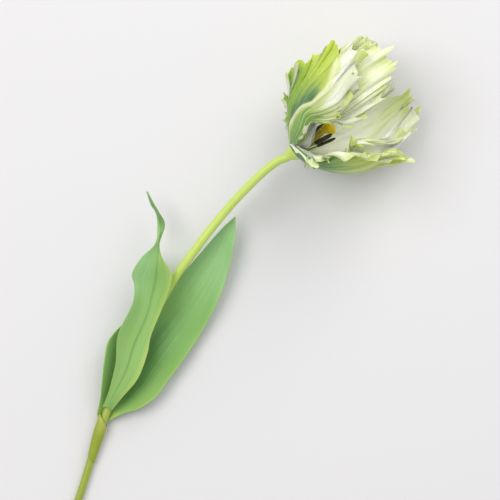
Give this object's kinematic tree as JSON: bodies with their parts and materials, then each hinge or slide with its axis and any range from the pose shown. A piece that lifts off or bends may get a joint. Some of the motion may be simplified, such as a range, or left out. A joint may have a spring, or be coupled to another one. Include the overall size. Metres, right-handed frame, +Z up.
{
  "type": "parrot tulip flower",
  "caption": "Cut parrot tulip lying on its side: ruffled, fringed bloom on a bent round stem with broad clasping leaves and a short sheath.",
  "frame": {"origin": "centre of the flower's box, on the surface it lies on", "axes": "+Y from the cut end of the stem towards the bloom, +Z up from the surface, +X to the right of the stem"},
  "size_m": [0.1482, 0.4735, 0.0985],
  "materials": {
    "stem": "smooth yellow-green plant stem, faint sheen",
    "sheath": "smooth olive plant sheath, faint sheen",
    "leaf": "satin green leaf with a bluish bloom",
    "outer_tepal": "satin petal, lime green with blue-green base and white margin",
    "inner_tepal": "satin petal, white with pale green veins and lime fringe",
    "stamen": "matte, near black",
    "pistil": "matte yellow stigma on an olive ovary"
  },
  "bodies": {
    "root": {"stem": "stem", "sheath": "sheath", "leaf_twisted": "leaf", "leaf_broad": "leaf", "outer_tepal_upper": "outer_tepal", "outer_tepal_lower": "outer_tepal", "outer_tepal_under": "outer_tepal", "inner_tepal_upper": "inner_tepal", "inner_tepal_lower": "inner_tepal", "inner_tepal_left": "inner_tepal", "stamen_1": "stamen", "stamen_2": "stamen", "stamen_3": "stamen", "stamen_4": "stamen", "stamen_5": "stamen", "stamen_6": "stamen", "pistil": "pistil"}
  },
  "joints": []
}
